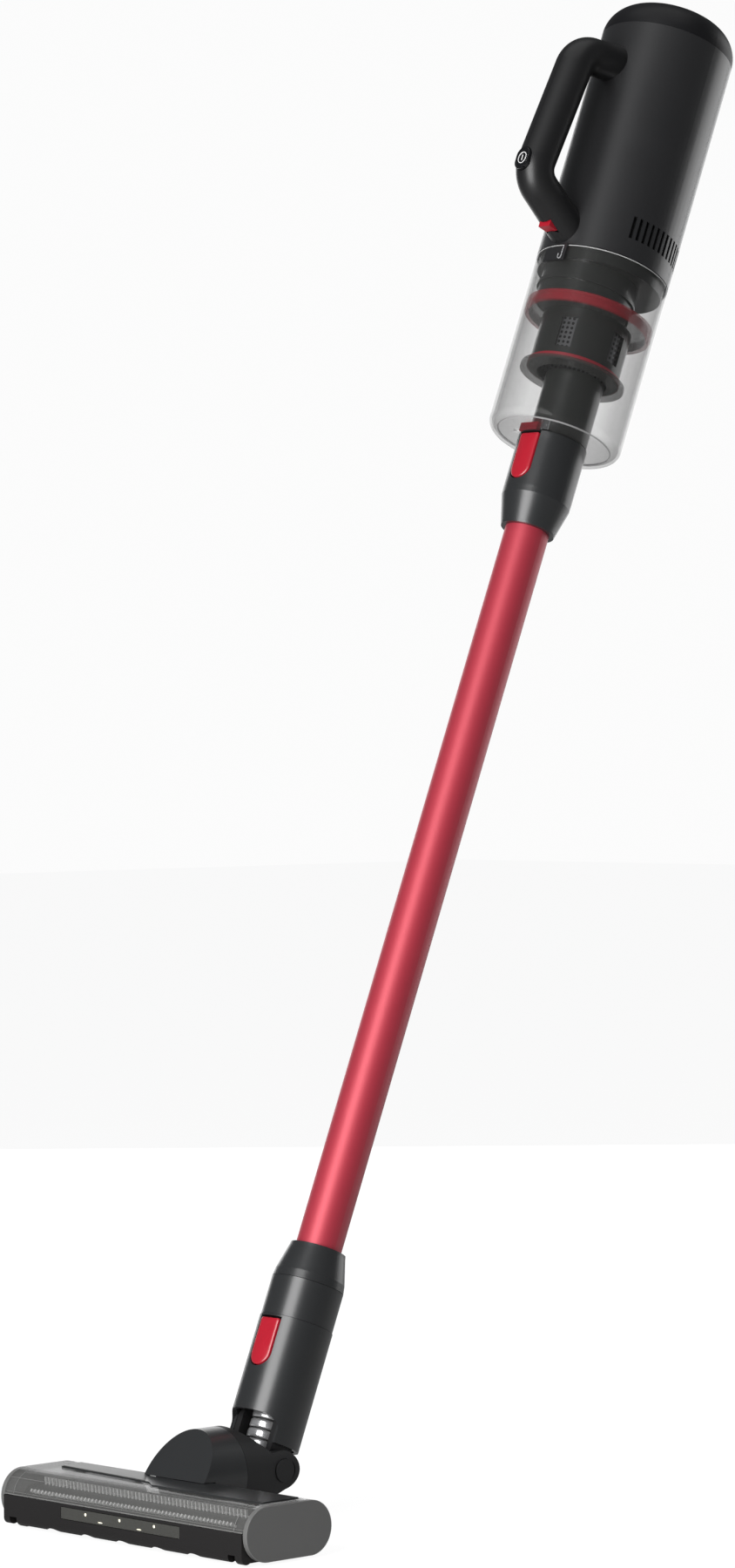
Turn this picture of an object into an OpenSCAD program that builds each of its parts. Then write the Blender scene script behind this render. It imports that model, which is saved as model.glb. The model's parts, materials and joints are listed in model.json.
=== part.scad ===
// Cordless upright (stick) vacuum cleaner. Millimetres, +Z up, floor at z = 0.
// The origin is on the floor under the middle of the floor head, whose front faces -Y.
// The stick leans back about the neck pivot. Everything on the stick is drawn in the
// stick's own frame: z runs up its axis from the pivot, and -y faces the handle side.

/* [Stance] */
// Backward lean of the stick from upright, degrees
lean = 22.7; // [15:0.1:30]
// Distance of the neck pivot behind the middle of the floor head
pivot_y = 90; // [90:0.5:92]
// Height of the neck pivot above the floor
pivot_z = 44; // [43.5:0.1:44.5]

/* [Power unit and bin] */
// Outer radius of the motor housing and of the dust bin
body_r = 53.5; // [53:0.1:54]
// Wall of the motor housing
body_wall = 2.5; // [2:0.1:3]
// Wall of the clear bin
bin_wall = 2.2; // [1.8:0.1:2.2]
// Height of the bin floor along the stick
bin_s = 829; // [828:0.1:830]
// Height of the seam between the bin and the motor housing
seam_s = 976; // [975.5:0.1:976.5]
// Height of the seam between the motor housing and its domed cap
cap_s = 1172; // [1171:0.5:1173]
// Height of the crown of the cap
top_s = 1203.5; // [1202.5:0.5:1205]
// Number of exhaust slots around the back of the housing
vent_count = 40; // [20:1:40]
// Height of the exhaust slots
vent_h = 18.4; // [14:0.1:20]

/* [Handle] */
// Radius of the handle bar
grip_r = 15; // [14:0.1:15.5]
// Wall of the handle shells
grip_wall = 2.5; // [2:0.1:3]
// Travel of the power button
button_travel = 1.2; // [0.8:0.1:1.5]

/* [Wand] */
// Outer radius of the wand tube
tube_r = 17.5; // [17:0.1:17.6]
// Wall of the wand tube
tube_wall = 1.2; // [1:0.1:1.5]
// Radius of the full part of both wand fittings
fit_r = 27.5; // [27:0.1:28]
// Radius of the rim that each fitting closes to on the tube
rim_r = 21.2; // [20.5:0.1:22]
// Width of the red release buttons
release_w = 21; // [18:0.5:21]

/* [Neck] */
// Outer radius of the neck tube
neck_r = 28; // [27.5:0.1:28]
// Height of the neck's lower edge above the pivot
neck_bottom_s = 17.4; // [17:0.1:19]
// Height of the top of the arched cut-out in the neck
arch_s = 36.5; // [36:0.1:40]
// Radius of the flexible hose
hose_r = 14; // [12:0.1:14.2]
// Radius of the barrel that the neck rolls on
barrel_r = 33; // [32.5:0.1:33]
// Radius of the pivot pins
pin_r = 5; // [4:0.1:6]

/* [Floor head] */
// Width of the floor head
head_w = 272; // [270:1:274]
// Depth of the floor head
head_d = 81; // [80.5:0.5:82]
// Height of the top of the floor head above the floor
head_top = 41.5; // [41.4:0.1:41.8]
// Ground clearance of the sole
sole_z = 2.2; // [2:0.1:2.3]
// Radius of the brush over its bristles
brush_r = 18.4; // [17:0.1:18.5]
// Radius of the front wheels
wheel_r = 6; // [5:0.1:6.5]

/* [Hidden] */
$fn = 72;

gap = 0.3;                              // clearance between pieces that don't touch
slack = 0.05;                           // radial clearance of a running fit
over = 60;                              // length that carries a cut past the material
run_in = 0.3;                           // overlap of a bar's straight runs and its bends
run_trim = 0.05;

body_in = body_r - body_wall;
bin_in = body_r - bin_wall;
bin_corner = 8;                         // rounding of the bin's lower edge

// Crown of the cap: a shallow dome that runs into the wall through a tighter arc
crown_r = 120;
crown_corner = 25;
corner_x = body_r - crown_corner;
crown_z = top_s - crown_r;
corner_z = crown_z + sqrt(pow(crown_r - crown_corner, 2) - pow(corner_x, 2));

// Handle centre line in the plane x = 0, as [y, z] corners in the stick's frame
handle_line = [[-45, 1138], [-88.7, 1125.6], [-100.5, 1013], [-45, 989.5]];
handle_bend = 20;                       // centre-line radius of the handle's upper bend
knee_bend = 18;                         // centre-line radius of the handle's knee
button_s = 1021;                        // height of the power button
button_r = 7;                           // half width of the power button
button_len = 5;                         // straight length of the power button
button_face = -114.5;                   // how far forward the power button's face stands
latch_at = [-68.5, 985];              // middle of the bin latch tab
latch_size = [12, 9, 5.5];

vent_s = 991.6;                         // lower end of the exhaust slots
vent_from = 62;                         // first slot, degrees round from the front
vent_pitch = (360 - 2 * vent_from) / (vent_count - 1);
vent_w = 2.8;

// Cyclone stack inside the bin
plate_s = 931;                          // underside of the separator plate
plate_h = 8;
flange_s = 884.5;                       // underside of the shroud's flange
flange_h = 3;
flange_r = 42;
shroud_r = 36;
drum_r = 38;
drum_y = -10;                           // the cyclone drum sits towards the handle side
duct_r = 23.5;
duct_y = 4;                             // the inlet duct sits towards the back
window_count = 5;
window_first = 24;                      // first shroud window, degrees round from the front
window_w = 13;
window_h = 25;
window_s = 897.5;

// Wand and neck stations along the stick
top_rim_s = 754;
top_full_s = 777;
tube_top_s = 792;
tube_low_s = 152;
low_rim_s = 168;
low_full_s = 148;
ring_top_s = 139.6;
ring_s = 109.2;
spigot_r = 18.5;
release_top_s = bin_s - 1;
release_len = 40;
head_release_top_s = 107.5;
head_release_len = 38;
release_travel = 1.5;
release_in = 23.2;                      // inner radius of the release buttons
pocket_in = 20;                         // radius of the floor of their pockets

hose_bend = 19;
neck_in = 24.8;
cheek_r = 14.5;
ear_out = 22.4;
ear_in = 17;
ear_half = 10.4;
slot_half = ear_out + 0.4;
seam_y = 53.5 - pivot_y;                // barrel seam, from the pivot
spigot_len = 9.5;                       // how far the elbow's journal reaches into the hood
journal_r = 26;
cap_r = 8.6;

// Floor head section: a stadium on its side
end_r = (head_top - sole_z) / 2;
mid_z = sole_z + end_r;
half_w = head_w / 2;
half_d = head_d / 2;
cap_t = 4;                              // thickness of the end caps
inner_w = half_w - cap_t - gap;         // half width between the end caps
cover_t = 2;
split_z = 24;                           // seam between the cover and the chassis
nose_y = -41.5;                         // front face of the chassis
nose_t = 4;                             // thickness of the chassis' front wall
brush_y = -17;
brush_z = 19.4;
core_r = 11;
plate_t = 1.35;                         // thickness of the plate on top of the cover
facet_y = 10.7;                         // lower front edge of the hood's slanted facet
facet_top_y = 34;
well_y = 21.5;                          // front of the well that holds the barrel
well_half = barrel_r + 0.4;
part_y = [2.4, 5.5];                    // faces of the partition behind the brush
foot_y = -3.5;                          // front of the partition's foot
motor_y = 24;
motor_z = 22.5;
motor_r = 11.5;
pulley_r = 5;
drum_pulley_r = 9;                      // pulley on the brush
bearing_r = 4;                          // pins on the end caps that carry the brush
bearing_x = 118;
belt_x = [-126.5, -122.5];
chamber_half = 115.5;                   // half length of the brush opening in the sole
end_wall_x = 129;
end_floor_z = 7.8;                      // floor of the chamber beyond the brush opening
wheel_x = 121;
wheel_y = -30;
roller_x = 80;                          // middle of each rear roller
roller_half = 29;
roller_y = 26;
roller_r = 5;
axle_r = 1.5;
window_half = 65.6;                     // half width of the light window
window_z = [13.2, 21.6];

function unit(v) = v / norm(v);
function turn(u, v) = atan2(u[0] * v[1] - u[1] * v[0], u * v);

module stick() translate([0, pivot_y, pivot_z]) rotate([-lean, 0, 0]) children();

// Puts a drawing in the y-z plane: drawing x to y, drawing y to z, its height to x
module side_on() rotate([90, 0, 90]) children();

module ring(r_out, r_in, z0, z1) {
    translate([0, 0, z0]) difference() {
        cylinder(h = z1 - z0, r = r_out);
        translate([0, 0, -1]) cylinder(h = z1 - z0 + 2, r = r_in);
    }
}

module box(low, high) translate(low) cube(high - low);

module x_rod(r, x0, x1) translate([x0, 0, 0]) rotate([0, 90, 0]) cylinder(h = x1 - x0, r = r);

module y_rod(r, y0, y1) translate([0, y0, 0]) rotate([-90, 0, 0]) cylinder(h = y1 - y0, r = r);

// Half of a round bar or of a tube, on one side of its middle plane, or all of it (side 0).
// The straight runs of a bent bar are thinner by $trim, so that they end inside its bends.
module bar_section(r_out, r_in, side) intersection() {
    difference() {
        circle(r_out - $trim);
        circle(r_in + $trim);
    }
    if (side == 0) square(4 * r_out, center = true);
    else translate([-over, side > 0 ? 0.05 + $trim : -over - 0.05 - $trim]) square([2 * over, over]);
}

// A bar along a line of corners, with a bend at each inner corner. Its section is the
// drawing that follows, with the drawing's y across the plane of the line.
module bent_bar(line, bends) {
    count = len(line);
    side_on() for (i = [0 : count - 2]) {
        u = unit(line[i + 1] - line[i]);
        cut_a = i == 0 ? 0 : corner_len(line, bends, i);
        cut_b = i == count - 2 ? 0 : corner_len(line, bends, i + 1);
        start = line[i] + u * (cut_a - run_in);
        run = norm(line[i + 1] - line[i]) - cut_a - cut_b + 2 * run_in;
        $trim = run_trim;
        translate([start[0], start[1], 0]) rotate([0, 0, atan2(u[1], u[0])])
            side_on() linear_extrude(run) children();
    }
    side_on() for (i = [1 : count - 2]) {
        u = unit(line[i] - line[i - 1]);
        v = unit(line[i + 1] - line[i]);
        da = turn(u, v);
        side = sign(da);
        from = line[i] - u * corner_len(line, bends, i);
        centre = from + side * bends[i - 1] * [-u[1], u[0]];
        a0 = atan2(u[1], u[0]) - side * 90;
        $trim = 0;
        translate([centre[0], centre[1], 0]) rotate([0, 0, da > 0 ? a0 : a0 + da])
            rotate_extrude(angle = abs(da)) translate([bends[i - 1], 0]) children();
    }
}
function corner_len(line, bends, i) = bends[i - 1]
    * tan(abs(turn(unit(line[i] - line[i - 1]), unit(line[i + 1] - line[i]))) / 2);

// ---- power unit ----

module motor_housing() color("#2b2b2d") stick() difference() {
    union() {
        ring(body_r, body_in, seam_s + gap, cap_s);
        ring(body_in + 0.5, 38, seam_s + 4, seam_s + 7);
    }
    for (i = [0 : vent_count - 1]) rotate([0, 0, vent_from + i * vent_pitch])
        box([-vent_w / 2, -body_r - 1, vent_s], [vent_w / 2, -body_in + 1, vent_s + vent_h]);
}

module crown_section(inset) {
    lean_x = corner_x / (crown_r - crown_corner);
    intersection() {
        translate([0, crown_z]) circle(crown_r - inset, $fn = 180);
        union() {
            translate([0, cap_s - 6]) square([body_r - inset, corner_z - cap_s + 6]);
            translate([corner_x, corner_z]) circle(crown_corner - inset);
            translate([0, cap_s - 6])
                square([corner_x + (crown_corner - inset) * lean_x, top_s - cap_s + 6]);
        }
    }
}

module top_cap() color("#1f1f21") stick() {
    rotate_extrude() intersection() {
        difference() {
            crown_section(0);
            crown_section(body_wall);
        }
        translate([0, cap_s + 0.15]) square([body_r + 1, over]);
    }
    ring(body_in - gap, body_in - 2.2, cap_s - 6, cap_s + 0.15);
    ring(body_in + 0.5, body_in - 2.2, cap_s + 0.15, cap_s + 2);
}

module stadium_peg(r, straight, y0, y1) {
    for (s = [-1, 1]) translate([0, 0, s * straight / 2]) y_rod(r, y0, y1);
    box([-r, y0, -straight / 2], [r, y1, straight / 2]);
}

// Half of the hollow handle on one side of the plane x = 0
module handle_half(side) stick() difference() {
    bent_bar(handle_line, [handle_bend, knee_bend])
        bar_section(grip_r, grip_r - grip_wall, side);
    translate([0, 0, 900]) cylinder(h = 300, r = body_r + 0.05);
    translate([0, 0, button_s]) stadium_peg(button_r + gap, button_len, -130, -105);
    translate([0, latch_at[0], latch_at[1]]) translate([0, 4, 2])
        cube(latch_size + [2 * gap, 10, 5], center = true);
}

module handle_left() color("#1b1b1d") handle_half(-1);

module handle_right() color("#1b1b1d") handle_half(1);

module power_button() color("#0a0a0b") stick() translate([0, 0, button_s])
    stadium_peg(button_r, button_len, button_face, button_face + 6);

module bin_latch() color("#c8102e") stick() translate([0, latch_at[0], latch_at[1]])
    cube(latch_size, center = true);

module latch_spring() color("#b9bcc0") stick() translate([0, latch_at[0], latch_at[1]])
    difference() {
        y_rod(2.2, latch_size[1] / 2 + 0.1, 12.2);
        y_rod(1.4, 0, over);
    }

module battery_cell_places() {
    children();
    for (a = [0 : 60 : 300]) rotate([0, 0, a]) translate([19.6, 0, 0]) children();
}

module battery_case() color("#3a3a3c") stick() difference() {
    translate([0, 0, 1074]) cylinder(h = 78, r = 33);
    battery_cell_places() translate([0, 0, 1077]) cylinder(h = 72.5, r = 9.5);
}

module battery_cells() color("#3f6f9f") stick()
    battery_cell_places() translate([0, 0, 1080]) cylinder(h = 65, r = 9.2);

module control_board() color("#1d5c3a") stick() {
    ring(40, 6, 1066, 1067.6);
    for (a = [20 : 60 : 320]) rotate([0, 0, a]) box([22, -4, 1067.6], [31, 4, 1071.5]);
}

module motor_can() color("#8d9095") stick() {
    ring(24, 3.2, 1050, 1060);
    ring(24, 19, 1012, 1050);
    ring(24, 3.2, 1009, 1012);
    ring(body_in - slack, 23.5, 1022, 1026);
}

module motor_rotor() color("#c9ccd1") stick() {
    translate([0, 0, 989]) cylinder(h = 73, r = 3);
    translate([0, 0, 1014]) cylinder(h = 34, r = 17.5);
    translate([0, 0, 992]) cylinder(h = 4, r1 = 28, r2 = 26);
    for (a = [0 : 45 : 315]) rotate([0, 0, a]) box([2.5, -0.8, 995.5], [24, 0.8, 1004]);
}

module exhaust_filter() color("#e7e3d8") stick() ring(50.3, 44, 985.5, 1012.5);

module cyclone_housing() color("#232527") stick() {
    translate([0, drum_y, 0]) {
        ring(drum_r, drum_r - 2.2, plate_s + plate_h + 0.1, 966);
        ring(drum_r + 1.6, drum_r - 2.2, 950, 953);
    }
    ring(50.2, 30, 966, seam_s + 3.8);
}

module cyclone_cones() color("#2f3133") stick() translate([0, drum_y, 0])
    for (a = [0 : 60 : 300]) rotate([0, 0, a]) translate([22, 0, 941]) difference() {
        cylinder(h = 22, r1 = 4.5, r2 = 8.5);
        translate([0, 0, -0.5]) cylinder(h = 23, r1 = 3.1, r2 = 7.2);
    }

module pre_motor_filter() color("#d9d4c6") stick() ring(29.6, 8, 966.5, 979);

module separator_plate() color("#26282a") stick() ring(47.6, 29.6, plate_s, plate_s + plate_h);

module seal_ring() color("#b3122b") stick() difference() {
    ring(50.9, 47.65, plate_s - 0.6, plate_s + plate_h);
    ring(52, 50.1, plate_s + 2.6, plate_s + plate_h - 2.6);
}

module shroud_windows(depth) for (i = [0 : window_count - 1])
    rotate([0, 0, window_first + i * 360 / window_count])
        box([-window_w / 2, -shroud_r - 1, window_s],
            [window_w / 2, -shroud_r + depth, window_s + window_h]);

module shroud() color("#2a2c2e") stick() difference() {
    ring(shroud_r, shroud_r - 2.2, flange_s + flange_h + 0.1, plate_s - 0.1);
    shroud_windows(3.5);
}

module shroud_mesh() color("#4a4d50") stick()
    ring(shroud_r - 2.3, shroud_r - 2.8, window_s - 3, window_s + window_h + 3);

module shroud_flange() color("#303234") stick()
    ring(flange_r, duct_r + duct_y + 0.8, flange_s, flange_s + flange_h);

module flange_trim() color("#a3122a") stick()
    ring(shroud_r + 1.3, shroud_r + 0.05, flange_s + flange_h + 0.05, flange_s + flange_h + 4.2);

// ---- dust bin ----

module bin_section(inset) {
    floor_s = bin_s + inset;
    round_r = bin_corner - inset;
    translate([0, floor_s + round_r]) square([body_r - inset, over * 3]);
    translate([body_r - bin_corner, floor_s + round_r]) circle(round_r);
    translate([0, floor_s]) square([body_r - bin_corner, over]);
}

module bin_shell() color([0.78, 0.8, 0.82, 0.35]) stick() difference() {
    rotate_extrude() intersection() {
        difference() {
            bin_section(0);
            bin_section(bin_wall);
        }
        square([body_r + 1, seam_s - gap]);
    }
    translate([0, duct_y, bin_s - 1]) cylinder(h = 6, r = duct_r - 1.8);
    translate([0, -24.2, bin_s + 2]) cube([38, 5, 12], center = true);
}

module inlet_duct() color("#2c2e30") stick() translate([0, duct_y, 0])
    ring(duct_r, duct_r - 1.8, bin_s + bin_wall + 0.05, flange_s + 0.8);

module bin_catch() color("#27292b") stick() intersection() {
    ring(body_r + 1.4, body_r + 0.02, seam_s - 14, seam_s - gap);
    union() {
        box([-11, -body_r - 4, seam_s - 14], [11, 0, seam_s - 2.6]);
        box([8.4, -body_r - 4, seam_s - 14], [11, 0, seam_s - gap]);
    }
}

module contact_pins() color("#d7dadd") stick() for (x = [9.8, 14.4])
    translate([x, -24.2, bin_s + 0.4]) cylinder(h = 9, r = 1.7);

module latch_tongue() color("#a8122a") stick()
    box([-13, -26.4, bin_s + 0.3], [5.6, -22.4, bin_s + 7]);

// ---- wand ----

module wand_top_connector() color("#2a2b2d") stick() difference() {
    union() {
        rotate_extrude() difference() {
            polygon([[0, top_rim_s], [rim_r, top_rim_s], [rim_r + 0.5, top_rim_s + 1.5],
                     [fit_r - 1.2, top_full_s - 3], [fit_r - 0.2, top_full_s + 1],
                     [fit_r, top_full_s + 6], [fit_r, bin_s - gap], [0, bin_s - gap]]);
            translate([0, top_rim_s - 1]) square([tube_r + 0.1, tube_top_s - top_rim_s + 1]);
            translate([0, tube_top_s - 1]) square([pocket_in - 2, over]);
        }
        translate([0, duct_y, 0]) ring(pocket_in + 1, pocket_in - 1, bin_s - 3, bin_s + 20);
    }
    translate([0, duct_y, bin_s - 4]) cylinder(h = 30, r = pocket_in - 1);
    release_peg(release_top_s, release_len, 0.4, pocket_in);
}

// Solid with a flat top and a round lower end, between two radii, on the front of a tube
module release_peg(top, length, grow, r_in) {
    half = release_w / 2 + grow;
    intersection() {
        ring(60, r_in, top - length - 5, top + 5);
        union() {
            box([-half, -50, top - length + release_w / 2], [half, 0, top + grow]);
            translate([0, 0, top - length + release_w / 2]) y_rod(half, -50, 0);
        }
    }
}

module release_cap(top, length, r_out) intersection() {
    release_peg(top, length, 0, release_in);
    cylinder(h = 2000, r = r_out);
}

module wand_release_button() color("#c8102e") stick()
    release_cap(release_top_s - 0.3, release_len, fit_r + 0.5);

module wand_button_spring() color("#b9bcc0") stick() translate([0, 0, release_top_s - 12])
    difference() {
        y_rod(3, -release_in + 0.35, -pocket_in - 0.1);
        y_rod(2.1, -30, -10);
    }

module wand_tube() color("#b5152c") stick()
    ring(tube_r, tube_r - tube_wall, tube_low_s, tube_top_s - 1.5);

module wand_lower_collar() color("#262729") stick() rotate_extrude() difference() {
    polygon([[0, low_rim_s], [rim_r, low_rim_s], [rim_r + 0.4, low_rim_s - 2],
             [fit_r - 1.8, low_full_s + 2], [fit_r - 0.8, low_full_s - 2],
             [fit_r, ring_top_s + 0.3], [0, ring_top_s + 0.3]]);
    translate([0, tube_low_s - 0.2]) square([tube_r + 0.1, over]);
    square([tube_r - 1, 2000]);
}

module wand_lower_ring() color("#2d2e30") stick() {
    ring(fit_r, tube_r - 1, ring_s + 0.3, ring_top_s);
    ring(spigot_r, tube_r - 1, ring_s - 18, ring_s + 0.4);
}

// ---- neck ----

module neck_arch() {
    round_r = 9;
    half = 25.4;
    for (s = [-1, 1]) translate([s * (half - round_r), 0, arch_s - round_r])
        y_rod(round_r, -60, -11);
    box([-half, -60, -5], [half, -11, arch_s - round_r]);
    box([-half + round_r, -60, -5], [half - round_r, -11, arch_s]);
}

module neck_shell() color("#2a2b2d") stick() difference() {
    union() {
        ring(neck_r, neck_in, neck_bottom_s, 62);
        ring(neck_r, spigot_r + 0.15, 61.9, ring_s);
    }
    neck_arch();
    release_peg(head_release_top_s, head_release_len, 0.4, pocket_in);
}

module neck_yoke() color("#1d1e20") stick() difference() {
    union() {
        ring(neck_in - 0.15, hose_r + 1.4, 46, 60);
        for (s = [-1, 1]) {
            box([s > 0 ? ear_in : -ear_out, -ear_half, 0], [s > 0 ? ear_out : -ear_in, ear_half, 47]);
            x_rod(ear_half, s > 0 ? ear_in : -ear_out, s > 0 ? ear_out : -ear_in);
        }
    }
    x_rod(pin_r + slack, -over, over);
}

module head_release_button() color("#c8102e") stick()
    release_cap(head_release_top_s - 0.3, head_release_len, neck_r + 0.5);

module head_button_spring() color("#b9bcc0") stick() translate([0, 0, head_release_top_s - 12])
    difference() {
        y_rod(3, -release_in + 0.35, -pocket_in - 0.1);
        y_rod(2.1, -30, -10);
    }

// Flexible hose from the neck, round past the pivot and forward into the barrel
hose_line = [[58 * sin(lean), 58 * cos(lean)], [0, 0], [seam_y + 1, 0]];
module hose() color("#c4c7ca") translate([0, pivot_y, pivot_z])
    bent_bar(hose_line, [hose_bend]) bar_section(hose_r, hose_r - 1.6, 0);

// ---- elbow ----

module elbow_section() {
    circle(cheek_r);
    polygon([[seam_y, -barrel_r], [seam_y, barrel_r], [seam_y + 4, barrel_r], [-10, 13.6],
             [-3, 14.18], [3, -14.18], [-16, -24], [seam_y + 9, -barrel_r]]);
}

module elbow_body() color("#202123") translate([0, pivot_y, pivot_z]) difference() {
    union() {
        intersection() {
            y_rod(barrel_r, seam_y, cheek_r + 2);
            side_on() translate([0, 0, -over]) linear_extrude(2 * over) elbow_section();
        }
        y_rod(journal_r, seam_y - spigot_len, seam_y + 1);
    }
    y_rod(hose_r + 1.4, seam_y - over, 0);
    box([-slot_half, -12.5, -cheek_r - 12], [slot_half, over, over]);
    x_rod(pin_r + slack, -over, over);
    for (s = [-1, 1]) {
        x_rod(cap_r + 0.3, s > 0 ? 31 : -over, s > 0 ? over : -31);
        x_rod(cap_r + 1.4, s > 0 ? 32.3 : -over, s > 0 ? over : -32.3);
    }
}

module pivot_pins() color("#c0c3c7") translate([0, pivot_y, pivot_z]) for (s = [-1, 1])
    x_rod(pin_r, s > 0 ? ear_in : -30.8, s > 0 ? 30.8 : -ear_in);

module pivot_caps() color("#19191b") translate([0, pivot_y, pivot_z]) for (s = [-1, 1])
    x_rod(cap_r, s > 0 ? 31 : -33.6, s > 0 ? 33.6 : -31);

// ---- floor head ----

module stadium(inset) {
    r = end_r - inset;
    for (s = [-1, 1]) translate([s * (half_d - end_r), mid_z]) circle(r);
    translate([-half_d + end_r, mid_z - r]) square([2 * (half_d - end_r), 2 * r]);
}

// Extrudes a y-z drawing between two x values
module span(x0, x1) translate([x0, 0, 0]) side_on() linear_extrude(x1 - x0) children();

module barrel_hood() color("#2c2d2f") difference() {
    intersection() {
        translate([0, 0, pivot_z]) y_rod(barrel_r, facet_y, pivot_y + seam_y - gap);
        span(-over, over) polygon([[facet_y, head_top + plate_t + gap],
            [facet_top_y, pivot_z + barrel_r], [70, 90], [70, 0], [well_y + 0.4, 0],
            [well_y + 0.4, head_top + plate_t + gap]]);
    }
    translate([0, 0, pivot_z])
        y_rod(journal_r + slack, pivot_y + seam_y - spigot_len - 0.4, 80);
    translate([0, 0, pivot_z]) y_rod(hose_r + 1.4, well_y + 3, 80);
    span(-12, 12) polygon([[well_y - 1, 16], [well_y + 5, 16], [well_y + 5, 56], [well_y - 1, 50]]);
}

// Deck over the motor on the left, stepping forward to a wider deck on the right
module top_plate() color("#1c1d1f") difference() {
    translate([0, 0, head_top + 0.05]) linear_extrude(plate_t - 0.05)
        polygon([[-114, 18], [-111, -3], [-5, -9], [7, -17], [126, -17], [126, 18]]);
    box([-well_half, facet_y - 0.4, 0], [well_half, over, 90]);
}

module head_cover() color([0.35, 0.36, 0.37, 0.55]) difference() {
    span(-inner_w, inner_w) intersection() {
        difference() {
            stadium(0);
            stadium(cover_t);
        }
        translate([-over, split_z]) square([2 * over, over]);
    }
    box([-well_half, facet_y + 3, 20], [well_half, over, 90]);
}

module chassis_section() intersection() {
    union() {
        stadium(0);
        translate([nose_y, sole_z + 4.5]) square([30, split_z]);
        translate([nose_y + 4, sole_z + 0.5]) square([26, 10]);
        translate([nose_y + 4.5, sole_z + 4.5]) circle(4.5);
    }
    translate([-over, 0]) square([2 * over, split_z - 0.2]);
}

module motor_bay_section() intersection() {
    stadium(2.6);
    translate([part_y[1], 5]) square([over, over]);
}

module head_chassis() color("#17181a") difference() {
    union() {
        difference() {
            span(-inner_w, inner_w) chassis_section();
            box([-chamber_half, nose_y + nose_t, -1], [chamber_half, foot_y, over]);
            box([-chamber_half, foot_y - 1, 4.7], [chamber_half, part_y[0], over]);
            box([-end_wall_x, nose_y + nose_t, end_floor_z], [end_wall_x, part_y[0], over]);
            span(-end_wall_x, end_wall_x) motor_bay_section();
        }
        for (s = [-1, 1], x = [-1, 1] * (roller_half + 4)) box([s * roller_x + x - 2, roller_y - 6,
            4.5], [s * roller_x + x + 2, roller_y + 6, roller_r + 3.5]);
        for (x = [-100, -70]) box([x - 2, part_y[1] - 0.5, 14],
            [x + 2, motor_y - motor_r - 0.1, 22]);
    }
    box([-well_half, well_y, 10.5], [well_half, over, 90]);
    box([-window_half - 0.4, nose_y - 1, window_z[0] - 0.4],
        [window_half + 0.4, nose_y + 2.2, window_z[1] + 0.4]);
    for (s = [-1, 1]) {
        box([s * wheel_x - 4, wheel_y - 7, -1], [s * wheel_x + 4, wheel_y + 7, 12.6]);
        box([s * wheel_x - 4, nose_y - 1, -1], [s * wheel_x + 4, wheel_y, 8]);
        translate([s * wheel_x, wheel_y, wheel_r]) x_rod(axle_r + slack, -6.5, 6.5);
        box([s * roller_x - roller_half - 2, roller_y - 6, -1],
            [s * roller_x + roller_half + 2, roller_y + 6, 2 * roller_r + 0.7]);
        translate([s * roller_x, roller_y, roller_r])
            x_rod(axle_r + slack, -roller_half - 5, roller_half + 5);
    }
    for (x = [-78 : 39 : 78]) translate([x, nose_y, -14]) y_rod(18.2, -3, nose_t + 1);
    box([-22, part_y[0] - 0.5, 8], [22, part_y[1] + 0.5, over]);
    box([-end_wall_x, part_y[0] - 0.5, end_floor_z], [belt_x[1] + 3, part_y[1] + 0.5, over]);
    translate([0, brush_y, brush_z]) x_rod(bearing_r + 0.5, -half_w, half_w);
}

module end_plate() side_on() linear_extrude(cap_t) stadium(0);

module left_end_cap() color("#2b2c2d") {
    translate([-half_w, 0, 0]) end_plate();
    translate([0, brush_y, brush_z]) x_rod(bearing_r, -half_w + 1, -bearing_x);
}

module right_end_cap() color("#3b3c3d") {
    translate([half_w - cap_t, 0, 0]) end_plate();
    translate([0, brush_y, brush_z]) x_rod(bearing_r, bearing_x, half_w - 1);
}

module light_window() color([0.3, 0.3, 0.28, 0.8])
    box([-window_half, nose_y, window_z[0]], [window_half, nose_y + 1.2, window_z[1]]);

module led_board() color("#e9e4c9")
    box([-60, nose_y + 1.5, window_z[0] + 0.8], [60, nose_y + 2.1, window_z[1] - 0.8]);

module sole_plate() color("#121314") box([-117, 3.5, sole_z - 1], [117, 19, sole_z - 0.05]);

module floor_strip() color("#8a2030") box([-113, -3, 0], [113, 3, sole_z - 0.05]);

module front_wheel(side) translate([side * wheel_x, wheel_y, wheel_r]) difference() {
    x_rod(wheel_r, -3, 3);
    x_rod(axle_r + slack, -5, 5);
}

module front_wheel_left() color("#0f0f10") front_wheel(-1);

module front_wheel_right() color("#0f0f10") front_wheel(1);

module wheel_axles() color("#b7babd") for (s = [-1, 1])
    translate([s * wheel_x, wheel_y, wheel_r]) x_rod(axle_r, -5.5, 5.5);

module rear_roller() color("#0f0f10") for (s = [-1, 1])
    translate([s * roller_x, roller_y, roller_r]) {
        x_rod(roller_r, -roller_half, roller_half);
        x_rod(axle_r, -roller_half - 4, roller_half + 4);
    }

module brush_core() color("#2a2a2c") translate([0, brush_y, brush_z]) difference() {
    union() {
        x_rod(core_r, -119.5, 125.5);
        x_rod(drum_pulley_r, belt_x[0] - 1, -118.5);
    }
    for (s = [-1, 1]) x_rod(bearing_r + slack, s > 0 ? bearing_x - 2 : -over * 3,
        s > 0 ? over * 3 : -bearing_x + 2);
}

module brush_bristles() color("#9c9ca0") translate([0, brush_y, brush_z]) for (a = [0 : 60 : 300])
    rotate([a, 0, 0]) box([-113.5, -1.5, core_r + 0.02], [113.5, 1.5, brush_r]);

module brush_motor() color("#8b8e92") translate([0, motor_y, motor_z]) x_rod(motor_r, -113.5, -58.5);

module motor_pulley() color("#cfcfd2") translate([0, motor_y, motor_z]) {
    x_rod(pulley_r, belt_x[0] - 1, belt_x[1] + 1);
    x_rod(2, belt_x[1] + 0.5, -113.8);
}

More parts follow.
